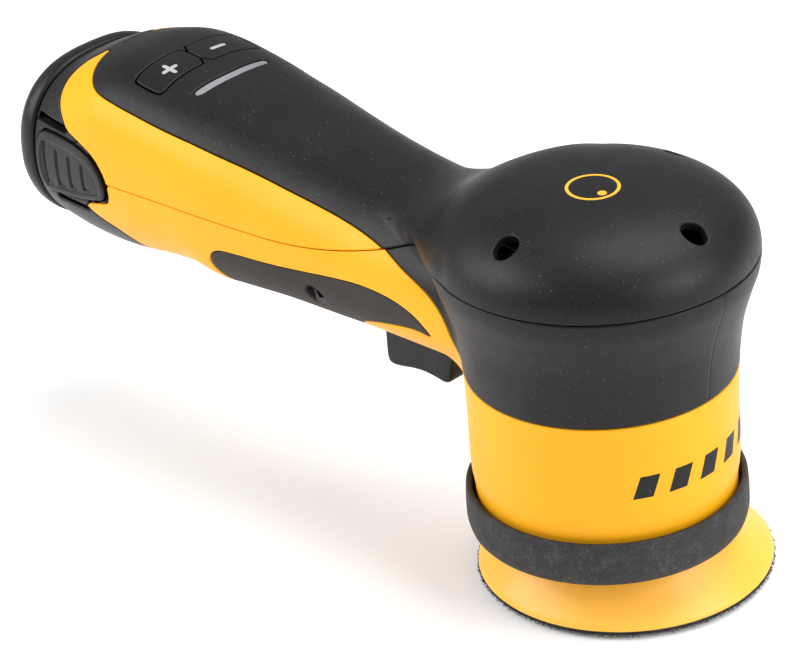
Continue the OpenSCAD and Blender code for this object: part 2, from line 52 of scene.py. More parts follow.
# Handle: x, half width, lowest z, highest z, squareness of the upper half
ROWS = np.array([
    [-200.0, 27.2, 54.9, 100.4, 2.5], [-181.5, 28.3, 52.9, 102.8, 2.5],
    [-176.0, 29.0, 51.5, 105.2, 2.5], [-171.0, 29.5, 50.5, 107.4, 2.5],
    [-165.0, 30.0, 49.9, 108.9, 2.65], [-156.0, 30.6, 49.9, 110.3, 2.9],
    [-146.0, 30.7, 51.0, 110.1, 2.9], [-138.0, 30.4, 51.8, 109.2, 2.83],
    [-129.0, 29.9, 52.2, 108.0, 2.74], [-124.5, 29.7, 51.6, 107.3, 2.68],
    [-119.5, 29.4, 50.5, 106.6, 2.6], [-112.0, 28.9, 50.9, 105.5, 2.5], [-95.0, 27.6, 51.9, 102.8, 2.2],
    [-78.0, 26.6, 52.3, 99.5, 2.1], [-62.0, 26.4, 53.0, 97.0, 2.05],
    [-45.0, 26.8, 53.4, 96.0, 2.05], [-25.0, 27.4, 53.6, 95.8, 2.05],
    [0.0, 27.4, 53.6, 95.8, 2.05]])
# Flank of the head: height, radius
FLANK = np.array([
    [15.0, 33.6], [24.2, 33.6], [28.6, 33.6], [34.0, 34.3], [50.0, 34.5], [60.7, 34.8],
    [68.0, 35.4], [76.0, 36.7], [83.0, 38.8], [88.5, 40.6], [92.0, 41.0], [96.0, 41.0]])
DOME_Z = 92.0
CAP_TOP = 112.0
CAP_R = 41.0
DOME_POWER = 2.4
REAR_LEAN = 0.15
# Valley between handle and head: width at the sides, what the top adds, the middle's part of it
VALLEY_SHARP = 1.6
VALLEY_SOFT = 23
MIDDLE_PART = 0.63
BODY_FLOOR = 24.2
STICK_R = 21.5
STICK_Z = 79.5
ORBIT = 6.0
PAD_R = 38.4
# Mesh size of the skin, in mm
GRID = 1.1


def hermite(x, xs, ys):
    """A smooth curve through the points, with slopes taken from their neighbours."""
    d = np.diff(ys) / np.diff(xs)
    m = np.concatenate([[d[0]], (d[1:] + d[:-1]) / 2, [d[-1]]])
    i = np.clip(np.searchsorted(xs, x) - 1, 0, len(xs) - 2)
    h = xs[i + 1] - xs[i]
    t = np.clip((x - xs[i]) / h, 0, 1)
    start = (1 + 2 * t) * (1 - t) ** 2 * ys[i] + t * (1 - t) ** 2 * h * m[i]
    return start + t * t * (3 - 2 * t) * ys[i + 1] + t * t * (t - 1) * h * m[i + 1]


FINE_X = np.arange(-200, 0.5, 0.5)
FINE_ROWS = [hermite(FINE_X, ROWS[:, 0], ROWS[:, i]) for i in range(1, 5)]
FINE_Z = np.arange(15, 96.5, 0.5)
FINE_R = hermite(FINE_Z, FLANK[:, 0], FLANK[:, 1])


def ease(t):
    """A smooth step from 0 to 1."""
    t = np.clip(t, 0, 1)
    return t * t * (3 - 2 * t)


def handle(P):
    """Distance outside the handle alone."""
    y = np.abs(P[..., 1])
    half, low, high, square = (np.interp(P[..., 0], FINE_X, row) for row in FINE_ROWS)
    w = P[..., 2] - (low + high) / 2
    power = np.where(w > 0, square, 2.0)
    g = (y / half) ** power + (2 * np.abs(w) / (high - low)) ** power
    return np.hypot(y, w) * (1 - 1 / (g ** (1 / power) + 1e-9))


def head(P):
    """Distance outside the round head alone."""
    z = P[..., 2]
    r = np.hypot(P[..., 0], P[..., 1])
    rear = np.clip(-P[..., 0] / (r + 1e-6), 0, 1)
    flank = (r - np.interp(z, FINE_Z, FINE_R)) * 0.97
    lean = r * (1 + REAR_LEAN * rear ** 4 * ease((z - DOME_Z) / 10))
    rise = np.maximum(z - DOME_Z, 0)
    g = (lean / CAP_R) ** DOME_POWER + (rise / (CAP_TOP - DOME_Z)) ** DOME_POWER
    dome = np.hypot(lean, rise) * (1 - 1 / (g ** (1 / DOME_POWER) + 1e-9))
    return np.where(z > DOME_Z, dome, flank)


def skin(P):
    """Distance outside the whole skin. The valley is sharp at the sides, soft above and below."""
    a = np.where(P[..., 0] > 0, 60.0, handle(P))
    b = head(P)
    middle = ease((24 - np.abs(P[..., 1])) / 14)
    above = ease((P[..., 2] - 84) / 12) * ease((-4 - P[..., 0]) / 20)
    soft = 1 - (1 - MIDDLE_PART * middle) * (1 - above)
    k = VALLEY_SHARP + VALLEY_SOFT * soft
    h = np.clip(0.5 + 0.5 * (b - a) / k, 0, 1)
    return b * (1 - h) + a * h - k * h * (1 - h)


def gradient(field, P, step=0.04):
    """Slope of a field at each point, by central differences."""
    out = np.empty_like(P)
    for i in range(3):
        shift = np.zeros(3)
        shift[i] = step
        out[:, i] = (field(P + shift) - field(P - shift)) / (2 * step)
    return out


def unit(V):
    return V / (np.linalg.norm(V, axis=-1, keepdims=True) + 1e-12)


def project(P, field=skin, rounds=3):
    """Moves points on to the zero surface of a field."""
    for _ in range(rounds):
        g = gradient(field, P)
        P = P - g * (field(P) / np.maximum((g * g).sum(1), 0.2))[:, None]
    return P


def surface_net(field, low, high, step):
    """Triangles on the zero surface of a field, from one point per crossed grid cell."""
    axes = [np.arange(a, b + step, step) for a, b in zip(low, high)]
    values = field(np.stack(np.meshgrid(*axes, indexing="ij"), -1))
    inside = values < 0
    shape = np.array(inside.shape) - 1
    corners = [(i, j, k) for i in (0, 1) for j in (0, 1) for k in (0, 1)]

    def part(array, c):
        return array[c[0]:c[0] + shape[0], c[1]:c[1] + shape[1], c[2]:c[2] + shape[2]]

    count = sum(part(inside, c).astype(np.int8) for c in corners)
    cells = np.argwhere((count > 0) & (count < 8))
    number = -np.ones(shape, np.int64)
    number[tuple(cells.T)] = np.arange(len(cells))
    f = np.stack([values[tuple((cells + c).T)] for c in corners], 1)
    total = np.zeros((len(cells), 3))
    hits = np.zeros(len(cells))
    for m, c in enumerate(corners):
        for axis in range(3):
            if c[axis]:
                continue
            e = m + (4, 2, 1)[axis]
            crossed = (f[:, m] < 0) != (f[:, e] < 0)
            t = np.where(crossed, f[:, m] / (f[:, m] - f[:, e] + 1e-12), 0)
            point = np.tile(np.array(c, float), (len(cells), 1))
            point[:, axis] += t
            total += point * crossed[:, None]
            hits += crossed
    P = (cells + total / hits[:, None]) * step + np.array([a[0] for a in axes])
    quads = []
    for axis in range(3):
        u, v = [i for i in range(3) if i != axis]
        nxt = [slice(None)] * 3
        nxt[axis] = slice(1, None)
        cur = [slice(None)] * 3
        cur[axis] = slice(None, -1)
        change = inside[tuple(cur)] != inside[tuple(nxt)]
        edge = np.argwhere(change)
        fits = (edge[:, u] > 0) & (edge[:, v] > 0)
        fits &= (edge[:, u] < shape[u]) & (edge[:, v] < shape[v])
        edge = edge[fits]
        du = np.eye(3, dtype=int)[u]
        dv = np.eye(3, dtype=int)[v]
        loop = [edge - du - dv, edge - dv, edge, edge - du]
        quad = np.stack([number[tuple(q.T)] for q in loop], 1)
        flip = inside[tuple(edge.T)] != (axis == 1)
        quad[~flip] = quad[~flip][:, ::-1]
        quads.append(quad)
    quads = np.concatenate(quads)
    P = project(P, field)
    short = np.linalg.norm(P[quads[:, 0]] - P[quads[:, 2]], axis=1)
    other = np.linalg.norm(P[quads[:, 1]] - P[quads[:, 3]], axis=1)
    q = np.where((short < other)[:, None], quads, np.roll(quads, -1, axis=1))
    return P, np.concatenate([q[:, [0, 1, 2]], q[:, [0, 2, 3]]])


def compact(P, T):
    used, T = np.unique(T, return_inverse=True)
    return P[used], T.reshape(-1, 3)


def edge_keys(T, n):
    E = np.stack([T, np.roll(T, -1, axis=1)], -1).reshape(-1, 2)
    return E, E.min(1) * n + E.max(1)


def refine(P, T, field=skin):
    """Cuts each triangle into four and puts the new points on the skin."""
    E, key = edge_keys(T, len(P))
    _, first, back = np.unique(key, return_index=True, return_inverse=True)
    mid = project((P[E[first, 0]] + P[E[first, 1]]) / 2, field, 1)
    m = back.reshape(-1, 3) + len(P)
    corners = [np.stack([T[:, i], m[:, i], m[:, i - 1]], 1) for i in range(3)]
    return np.concatenate([P, mid]), np.concatenate(corners + [m])


# Points nearer than this to a cut count as past it, in mm
SNAP = 0.03


def split(P, T, values, level, field=skin):
    """Cuts the triangles where values crosses level."""
    v = values - level
    v = np.where(np.abs(v) < SNAP, SNAP, v)
    up = v > 0
    kind = up[T].sum(1)
    mixed = (kind == 1) | (kind == 2)
    M = T[mixed]
    if not len(M):
        return P, T
    lone = np.argmax(up[M] == (kind[mixed] == 1)[:, None], axis=1)
    M = np.take_along_axis(M, (lone[:, None] + np.arange(3)) % 3, axis=1)
    E = np.concatenate([M[:, [0, 1]], M[:, [0, 2]]])
    key = E.min(1) * len(P) + E.max(1)
    _, first, back = np.unique(key, return_index=True, return_inverse=True)
    a, b = E[first, 0], E[first, 1]
    t = (v[a] / (v[a] - v[b]))[:, None]
    new = project(P[a] + t * (P[b] - P[a]), field, 1)
    back = back.reshape(-1) + len(P)
    ab, ac = back[:len(M)], back[len(M):]
    pieces = [np.stack([M[:, 0], ab, ac], 1), np.stack([ab, M[:, 1], M[:, 2]], 1),
              np.stack([ab, M[:, 2], ac], 1)]
    return np.concatenate([P, new]), np.concatenate([T[~mixed]] + pieces)


# Outlines and regions. A region is positive inside, in mm.

def chaikin(points, rounds=2):
    """Rounds the corners of a closed outline."""
    p = np.array(points, float)
    for _ in range(rounds):
        q = np.roll(p, -1, axis=0)
        p = np.stack([0.75 * p + 0.25 * q, 0.25 * p + 0.75 * q], 1).reshape(-1, 2)
    return p


def outline(points, rounds=2):
    """Signed distance to a closed outline, positive inside."""
    A = chaikin(points, rounds)
    B = np.roll(A, -1, axis=0)

    def measure(u, v):
        best = np.full(u.shape, 1e9)
        odd = np.zeros(u.shape, bool)
        for (au, av), (bu, bv) in zip(A, B):
            eu, ev = bu - au, bv - av
            pu, pv = u - au, v - av
            t = np.clip((pu * eu + pv * ev) / (eu * eu + ev * ev + 1e-12), 0, 1)
            best = np.minimum(best, (pu - t * eu) ** 2 + (pv - t * ev) ** 2)
            if av != bv:
                cross = (av > v) != (bv > v)
                odd ^= cross & (u < au + (v - av) * eu / ev)
        return np.where(odd, 1, -1) * np.sqrt(best)

    return measure


# Seen from the side (x, z): the seam of the two shells, the edges of the head band and of the
# cover, the soft inlay, the rear edge of the handle, and the latch
SEAM = [(-230, 80.6), (-136, 80.6), (-110, 79.9), (-92, 79.6), (-80, 80.2), (-66, 82.6),
        (-52, 86.3), (-44, 89.2), (-36, 91.6), (-29, 92.5), (-20, 92.6), (90, 92.6)]
BAND = [(-62, 95), (-52, 86.8), (-49.5, 85.9), (-43.1, 83.6), (-37.5, 82), (-32.3, 80),
        (-28.5, 77.2), (-26.3, 73.9), (-25.2, 69), (-24.4, 64), (-22.5, 61.9),
        (-18, 61.3), (-10, 60.9), (0, 60.7), (90, 60.7)]
COVER = [(-190, 111.5), (-172, 109.3), (-168, 107.9), (-165.4, 106.5), (-162, 105.1),
         (-157.5, 103.9), (-145, 102.4), (-134.8, 100.7), (-125.3, 99.2), (-114.7, 97.5),
         (-103.3, 95.7), (-94.5, 94.1), (-84.4, 92.2), (-66, 89.3), (-52, 86.6), (-20, 78)]
INLAY = [(-115, 20), (-115.6, 60), (-115.4, 65), (-113.4, 68.6), (-110.4, 70.8),
         (-106, 71.4), (-92, 71.9), (-80, 73.2), (-68, 74.9), (-57.4, 76), (-48, 75.7),
         (-42, 74.5), (-36.6, 72.3), (-32.8, 67.4), (-38.8, 68.3), (-45, 67.3),
         (-53, 65.2), (-60, 62.6), (-65, 60), (-68.5, 56), (-69.5, 50), (-69.5, 20)]
REAR = [(-165.6, 140), (-166, 110), (-169, 107.4), (-172.4, 105.2), (-174, 102),
        (-173, 98.6), (-170.9, 96), (-168.5, 94), (-165.5, 91.4), (-159.5, 90),
        (-153.8, 87.6), (-150.4, 83.4), (-149.2, 79.9), (-149.2, 76.4), (-150.6, 74),
        (-153.6, 73.2), (-161, 71.2), (-160, 69.2), (-156, 66.8), (-150.5, 64), (-148, 58),
        (-147.5, 10)]
LATCH = [(-180.6, 69.6), (-171, 71.2), (-161, 72.4), (-154, 74.2), (-151.2, 75.2),
         (-150.2, 77.4), (-150.2, 80), (-151.4, 83.2), (-154.4, 86.6), (-160, 88.8),
         (-170, 89.4), (-180.6, 88.4)]
# Seen from above (x, y): one key and the light bar
KEY = [(-137.2, 0.2), (-137.1, 6), (-136.8, 12), (-136.3, 17.6), (-137.0, 18.9),
       (-145.6, 18.9), (-147.0, 17.9), (-147.6, 13), (-147.9, 6), (-148.0, 0.2)]
BAR = [(-126.6, -11), (-126.5, 0), (-126.6, 11), (-127.2, 13.6), (-129.2, 13.6),
       (-129.2, 10), (-129.1, 0), (-129.2, -10), (-129.2, -13.6), (-127.2, -13.6)]

below_seam = outline(SEAM + [(90, -60), (-230, -60)])
above_band = outline(BAND + [(90, 190), (-62, 190)])
above_cover = outline(COVER + [(90, 78), (90, 220), (-190, 220)])
in_inlay = outline(INLAY, 2)
in_front = outline(REAR + [(120, 10), (120, 140)])
in_latch = outline(LATCH)
in_key = outline(KEY, 1)
in_bar = outline(BAR)
# Where the inlay ends towards the head, and where the battery case meets its end cap
INLAY_FRONT = -28
BATTERY_END = -181.6
# Gap round the latches and the keys, on top of each piece's own
LATCH_GAP = 0.25
KEY_GAP = 0.2
# Rectangles cut from the underside: rear end, front end, half width
TRIGGER_SLOT = (-70.4, -39.2, 8.3)
PLATE_SLOT = (-145.6, -127.4, 19.2)
# Screw holes of the cap (x, y) and of the flank (x, z)
CAP_HOLES = [(0, -32), (32, 0), (0.9, 31.0)]
GRIP_HOLE = (-77.0, 66.0)
HOLE_R = 3.1
# Lower and upper end of each latch groove
LATCH_GROOVES = [(73.6, 85.2), (74.2, 84.3), (75.2, 83.9), (76.2, 83.3)]


def xz(region):
    return lambda P: region(P[:, 0], P[:, 2])


def xy(region):
    return lambda P: region(P[:, 0], P[:, 1])


def holes(centres, radius):
    """Distance outside round holes that go straight down."""
    def measure(P):
        return np.min([np.hypot(P[:, 0] - x, P[:, 1] - y) for x, y in centres], 0) - radius
    return measure


def where(test, region):
    """A region that only counts where test says so."""
    return lambda P: np.where(test(P), region(P), 9.0)


def where_not(test, region):
    """A region that exists only where test says so."""
    return lambda P: np.where(test(P), region(P), -9.0)


def key_field(P, side):
    return in_key(P[:, 0], side * P[:, 1])


def slab(x0, x1, half):
    """Outside a rectangle of the plan, positive outside it."""
    def measure(P):
        dx = np.abs(P[:, 0] - (x0 + x1) / 2) - (x1 - x0) / 2
        dy = np.abs(P[:, 1]) - half
        outside = np.hypot(np.maximum(dx, 0), np.maximum(dy, 0))
        return outside + np.minimum(np.maximum(dx, dy), 0)
    return measure


def both(*regions):
    return lambda P: np.min([r(P) for r in regions], 0)


def no(region):
    return lambda P: -region(P)


def top(P):
    return P[:, 2] > 92


def under(P):
    return P[:, 2] < 66


seam_low = xz(below_seam)
band_up = xz(above_band)
cover_up = xz(above_cover)
inlay_in = both(lambda P: INLAY_FRONT - P[:, 0], xz(in_inlay))
front = xz(in_front)
trigger_gap = where(under, slab(*TRIGGER_SLOT))


def grip_holes(P):
    """Distance outside the two screw holes that go in sideways."""
    return np.hypot(P[:, 0] - GRIP_HOLE[0], P[:, 2] - GRIP_HOLE[1]) - HOLE_R


cap_holes = where(top, holes(CAP_HOLES, HOLE_R))
keys_out = where(top, lambda P: -in_key(P[:, 0], np.abs(P[:, 1])) - KEY_GAP)
bar_out = where(top, lambda P: -in_bar(P[:, 0], P[:, 1]))
parting = where(lambda P: P[:, 0] > 0, lambda P: np.abs(P[:, 1]) + 0.3)
plate_gap = where(under, slab(*PLATE_SLOT))


def slots(P):
    """Narrow cooling slots above and below the latches."""
    high = np.hypot(np.clip(P[:, 0], -180, -167) - P[:, 0], P[:, 2] - 91.6) - 0.9
    low = np.hypot(np.clip(P[:, 0], -174, -162) - P[:, 0], P[:, 2] - 68.9) - 1.0
    return np.minimum(high, low)


REGIONS = {
    "top_cover": both(front, no(seam_low), cover_up, cap_holes, keys_out, bar_out),
    "upper_shell": both(front, no(seam_low), no(cover_up)),
    "lower_shell": both(front, seam_low, no(band_up), no(inlay_in), trigger_gap, plate_gap,
                        lambda P: P[:, 2] - BODY_FLOOR),
    "head_band": both(seam_low, band_up, parting),
    "grip_inlay": both(inlay_in, trigger_gap, grip_holes),
    "battery_case": both(no(front), lambda P: P[:, 0] - BATTERY_END, slots,
                         lambda P: -in_latch(P[:, 0], P[:, 2]) - LATCH_GAP),
}

# Meshes

SKIN_P, SKIN_T = surface_net(skin, (-184, -44.5, 20.5), (43.5, 44.5, 114), GRID)


def put_mesh(name, P, faces, normals=None):
    """A Blender object from points in mm. normals has one row per face corner."""
    mesh = bpy.data.meshes.new(name)
    mesh.from_pydata((np.asarray(P) * MM).tolist(), [], [list(map(int, f)) for f in faces])
    mesh.polygons.foreach_set("use_smooth", np.full(len(mesh.polygons), True))
    if normals is not None:
        mesh.normals_split_custom_set(normals.tolist())
    mesh.update()
    obj = bpy.data.objects.new(name, mesh)
    bpy.context.scene.collection.objects.link(obj)
    return obj


def point_normals(P, T):
    big = np.cross(P[T[:, 1]] - P[T[:, 0]], P[T[:, 2]] - P[T[:, 0]])
    out = np.zeros_like(P)
    for i in range(3):
        np.add.at(out, T[:, i], big)
    return unit(out)


def close_solid(outer, inner, T, normals):
    """A closed solid between an outer and an inner copy of the same sheet."""
    n = len(outer)
    E, key = edge_keys(T, n)
    _, index, count = np.unique(key, return_index=True, return_counts=True)
    rim = E[index[count == 1]]
    P = np.concatenate([outer, inner])
    walls = np.stack([rim[:, 1], rim[:, 0], rim[:, 0] + n, rim[:, 1] + n], 1)
    inside = T[:, ::-1] + n
    wall_n = unit(np.cross(P[walls[:, 1]] - P[walls[:, 0]], P[walls[:, 3]] - P[walls[:, 0]]))
    loops = [normals[T].reshape(-1, 3), -normals[inside - n].reshape(-1, 3),
             np.repeat(wall_n, 4, axis=0)]
    faces = T.tolist() + inside.tolist() + walls.tolist()
    return P, faces, np.concatenate(loops)


def along_surface(region, P, n):
    """A region's value measured along the surface, and its direction there."""
    value = region(P)
    slope = np.zeros_like(P)
    close = np.abs(value) < 4
    g = gradient(region, P[close])
    g = g - n[close] * (g * n[close]).sum(1, keepdims=True)
    size = np.clip(np.linalg.norm(g, axis=1), 0.3, 1.5)
    value[close] = value[close] / size
    slope[close] = unit(g)
    return value, slope


def sideways(P):
    """The direction along Y away from the middle plane."""
    return np.stack([0 * P[:, 0], np.sign(P[:, 1]), 0 * P[:, 2]], 1)


def skin_piece(name, region, thick, fillet=0.5, gap=0.1, lift=0.0, field=skin, base=None,
               fine=0, relief=None, straight=None):
    """A closed shell cut from the skin, with rounded edges and a gap to its neighbours.

    The sheet is cut along four lines beside its edge. The last strip falls away in an arc,
    and the inner side lies a thickness below, along the normal or, where straight says, Y.
    """
    P, T = base if base is not None else (SKIN_P, SKIN_T)
    rough = region(P)
    P, T = compact(P, T[(rough[T] > -3).any(1)])
    for _ in range(fine):
        P, T = refine(P, T, field)
        rough = region(P)
        P, T = compact(P, T[(rough[T] > -2).any(1)])
    for angle in (90, 55, 30, 0):
        n = unit(gradient(field, P))
        value, _ = along_surface(region, P, n)
        P, T = split(P, T, value, gap + fillet * (1 - math.cos(math.radians(angle))), field)
    n = unit(gradient(field, P))
    value, slope = along_surface(region, P, n)
    P2, T2 = compact(np.concatenate([P, n, slope, value[:, None]], 1),
                     T[(value[T] > gap - SNAP).all(1)])
    P, n, slope, value = P2[:, :3], P2[:, 3:6], P2[:, 6:9], P2[:, 9]
    lean = np.clip(1 - (value - gap) / fillet, 0, 1)
    drop = fillet * (1 - np.sqrt(1 - lean * lean))
    up = lift - drop
    if relief is not None:
        up = up + relief(P)
    outer = P + n * up[:, None]
    inward = n
    if straight is not None:
        inward = unit(n + straight(P)[:, None] * (sideways(P) * 3 - n))
    inner = P - inward * thick
    if relief is None:
        shade = unit(n * np.sqrt(1 - lean * lean)[:, None] - slope * lean[:, None])
    else:
        shade = point_normals(outer, T2)
    return put_mesh(name, *close_solid(outer, inner, T2, shade))


def lathe(name, profile, centre=(0, 0, 0), axis="z", steps=128, crease=30):
    """A closed ring or disc turned from a closed profile of (radius, height)."""
    pts = np.array(profile, float)
    n = len(pts)
    angle = np.linspace(0, 2 * math.pi, steps, endpoint=False)
    r, h = pts[:, 0], pts[:, 1]
    P = np.stack([np.outer(np.cos(angle), r), np.outer(np.sin(angle), r),
                  np.tile(h, (steps, 1))], -1).reshape(-1, 3)
    if axis == "x":
        P = P[:, [2, 0, 1]]
    faces = []
    for i in range(steps):
        j = (i + 1) % steps
        for k in range(n):
            m = (k + 1) % n
            faces.append((i * n + k, j * n + k, j * n + m, i * n + m))
    obj = put_mesh(name, P + np.array(centre), faces)
    tidy_mesh(obj, crease)
    return obj


def tidy_mesh(obj, crease=30, join=True):
    """Joins doubled points, faces outward, and keeps edges sharper than crease."""
    bm = bmesh.new()
    bm.from_mesh(obj.data)
    if join:
        bmesh.ops.remove_doubles(bm, verts=bm.verts, dist=1e-6)
        bmesh.ops.dissolve_degenerate(bm, edges=bm.edges, dist=1e-7)
    bmesh.ops.recalc_face_normals(bm, faces=bm.faces)
    for e in bm.edges:
        if len(e.link_faces) == 2:
            e.smooth = e.calc_face_angle(0) < math.radians(crease)
    bm.to_mesh(obj.data)
    bm.free()


def rounded(points, radius, steps=4):
    """Rounds the corners of a profile by an arc-like curve of about the given radius."""
    p = np.array(points, float)
    out = []
    for i in range(len(p)):
        a, b, c = p[i - 1], p[i], p[(i + 1) % len(p)]
        u, v = a - b, c - b
        lu, lv = np.linalg.norm(u), np.linalg.norm(v)
        d = min(radius, 0.45 * lu, 0.45 * lv)
        s, e = b + u / lu * d, b + v / lv * d
        for t in np.linspace(0, 1, steps):
            out.append((1 - t) ** 2 * s + 2 * t * (1 - t) * b + t * t * e)
    return np.array(out)


def prism(name, profile, half, edge):
    """A rounded plate across Y from an (x, z) outline."""
    p = np.array(profile, float)
    area = np.sum(p[:, 0] * np.roll(p[:, 1], -1) - np.roll(p[:, 0], -1) * p[:, 1])
    p = p if area > 0 else p[::-1]
    t = unit(np.roll(p, -1, axis=0) - np.roll(p, 1, axis=0))
    inward = np.stack([-t[:, 1], t[:, 0]], 1)
    angle = np.radians([90, 60, 30, 0])
    rings = [(-(half - edge + edge * math.sin(a)), edge * (1 - math.cos(a))) for a in angle]
    rings += [(-y, inset) for y, inset in rings[::-1]]
    n = len(p)
    P = np.concatenate([np.stack([q[:, 0], np.full(n, y), q[:, 1]], 1)
                        for y, inset in rings for q in [p + inward * inset]])
    faces = [list(range(n)), [(len(rings) - 1) * n + k for k in range(n)][::-1]]
    for i in range(len(rings) - 1):
        faces += [(i * n + k, (i + 1) * n + k, (i + 1) * n + (k + 1) % n,
                   i * n + (k + 1) % n) for k in range(n)]
    obj = put_mesh(name, P, faces)
    tidy_mesh(obj, 40)
    return obj


def loft(name, rings, crease=30):
    """A closed solid through rings of equal count, with flat ends."""
    n = len(rings[0])
    P = np.concatenate(rings)
    faces = [list(range(n))[::-1], [(len(rings) - 1) * n + k for k in range(n)]]
    for i in range(len(rings) - 1):
        faces += [(i * n + k, i * n + (k + 1) % n, (i + 1) * n + (k + 1) % n,
                   (i + 1) * n + k) for k in range(n)]
    obj = put_mesh(name, P, faces)
    tidy_mesh(obj, crease)
    return obj


def handle_ring(x, inset, steps=96, at=None):
    """A ring of the handle's section, standing across X. Its shape is that at x, or at at."""
    half, low, high, square = (np.interp(at if at is not None else x, FINE_X, row)
                               for row in FINE_ROWS)
    a = np.linspace(0, 2 * math.pi, steps, endpoint=False)
    c, s = np.cos(a), np.sin(a)
    power = np.where(s > 0, 2 / square, 1.0)
    y = (half - inset) * np.sign(c) * np.abs(c) ** power
    z = (low + high) / 2 + ((high - low) / 2 - inset) * np.sign(s) * np.abs(s) ** power
    return np.stack([np.full(steps, float(x)), y, z], 1)


def circle_ring(x, radius, steps=96):
    a = np.linspace(0, 2 * math.pi, steps, endpoint=False)
    return np.stack([np.full(steps, float(x)), radius * np.cos(a),
                     STICK_Z + radius * np.sin(a)], 1)


# Materials

def nodes_of(name, colour, rough, metal=0.0, **extra):
    """A new material. Returns it with its node tree and its shader."""
    mat = bpy.data.materials.new(name)
    mat.use_nodes = True
    tree = mat.node_tree
    shader = tree.nodes["Principled BSDF"]
    shader.inputs["Base Color"].default_value = (*colour, 1)
    shader.inputs["Roughness"].default_value = rough
    shader.inputs["Metallic"].default_value = metal
    for key, value in extra.items():
        shader.inputs[key.replace("_", " ")].default_value = value
    return mat, tree, shader


def add(tree, kind, **values):
    node = tree.nodes.new("ShaderNode" + kind)
    for key, value in values.items():
        if key in node.inputs:
            node.inputs[key].default_value = value
        else:
            setattr(node, key, value)
    return node


def noise(tree, scale, detail=3.0, stretch=(1, 1, 1), rough=0.6):
    """Noise in object space. Returns its factor socket."""
    coords = add(tree, "TexCoord")
    place = add(tree, "Mapping")
    place.inputs["Scale"].default_value = stretch
    tex = add(tree, "TexNoise", Scale=scale, Detail=detail, Roughness=rough)
    tree.links.new(coords.outputs["Object"], place.inputs["Vector"])
    tree.links.new(place.outputs["Vector"], tex.inputs["Vector"])
    return tex.outputs["Fac"]


def ramp(tree, socket, stops):
    """A colour ramp over (position, colour) stops."""
    node = add(tree, "ValToRGB")
    band = node.color_ramp
    while len(band.elements) < len(stops):
        band.elements.new(0.5)
    for e, (at, colour) in zip(band.elements, stops):
        e.position = at
        e.color = (*colour, 1) if len(colour) == 3 else colour
    tree.links.new(socket, node.inputs["Fac"])
    return node.outputs["Color"]


def grey(v):
    return (v, v, v)


def bump(tree, shader, sockets, strength, distance):
    """Joins height sockets into one bump."""
    height = sockets[0]
    for other in sockets[1:]:
        plus = add(tree, "Math", operation="ADD")
        tree.links.new(height, plus.inputs[0])
        tree.links.new(other, plus.inputs[1])
        height = plus.outputs[0]
    node = add(tree, "Bump", Strength=strength, Distance=distance)
    tree.links.new(height, node.inputs["Height"])
    tree.links.new(node.outputs["Normal"], shader.inputs["Normal"])


def plastic(name, dark, light, rough, grain, strength, spread=0.06, specks=None, **extra):
    """Moulded plastic: spark-eroded grain, faint colour drift, patchy gloss, a few specks."""
    mat, tree, shader = nodes_of(name, light, rough, **extra)
    tone = ramp(tree, noise(tree, 35, 4), [(0.3, dark), (0.7, light)])
    if specks:
        mix = add(tree, "Mix", data_type="RGBA")
        mix.inputs[7].default_value = (*specks, 1)
        spots = ramp(tree, noise(tree, 2300, 0), [(0.80, grey(0)), (0.84, grey(1))])
        tree.links.new(spots, mix.inputs[0])
        tree.links.new(tone, mix.inputs[6])
        tone = mix.outputs[2]
    tree.links.new(tone, shader.inputs["Base Color"])
    patch = noise(tree, 60, 5)
    gloss = ramp(tree, patch, [(0.3, grey(rough - spread)), (0.7, grey(rough + spread))])
    tree.links.new(gloss, shader.inputs["Roughness"])
    bump(tree, shader, [noise(tree, grain, 2), noise(tree, grain * 2.7, 2)], strength, 0.0001)
    return mat


def dusty(name, base, dust, rough, grain, low, high, strength=0.25, **extra):
    """Rubber with pale dust caught in its grain and scuffs."""
    mat, tree, shader = nodes_of(name, base, rough, **extra)
    fine = noise(tree, grain, 6, rough=0.75)
    scuff = noise(tree, grain / 8, 6, rough=0.75)
    mix = add(tree, "Math", operation="MULTIPLY")
    tree.links.new(fine, mix.inputs[0])
    tree.links.new(scuff, mix.inputs[1])
    colour = ramp(tree, mix.outputs[0], [(low, base), (high, dust)])
    tree.links.new(colour, shader.inputs["Base Color"])
    bump(tree, shader, [fine, scuff], strength, 0.0004)
    return mat


def metal(name, dark, light, rough, stretch=(1, 1, 12), scale=300):
    mat, tree, shader = nodes_of(name, light, rough, 1.0)
    lines = noise(tree, scale, 4, stretch)
    tree.links.new(ramp(tree, lines, [(0.3, dark), (0.7, light)]), shader.inputs["Base Color"])
    gloss = ramp(tree, lines, [(0.3, grey(rough - 0.08)), (0.7, grey(rough + 0.1))])
    tree.links.new(gloss, shader.inputs["Roughness"])
    bump(tree, shader, [lines], 0.08, 0.00005)
    return mat


def fabric_hooks(name):
    """The woven base of the hook facing: a square cell pattern under fuzzy fibres."""
    mat, tree, shader = nodes_of(name, (0.02, 0.018, 0.018), 0.85)
    coords = add(tree, "TexCoord")
    cells = add(tree, "TexVoronoi", Scale=900.0)
    tree.links.new(coords.outputs["Object"], cells.inputs["Vector"])
    fuzz = noise(tree, 1500, 3)
    tone = ramp(tree, cells.outputs["Distance"], [(0.1, (0.05, 0.045, 0.042)),
                                                  (0.8, (0.012, 0.011, 0.011))])
    tree.links.new(tone, shader.inputs["Base Color"])
    bump(tree, shader, [cells.outputs["Distance"], fuzz], 0.6, 0.0003)
    return mat


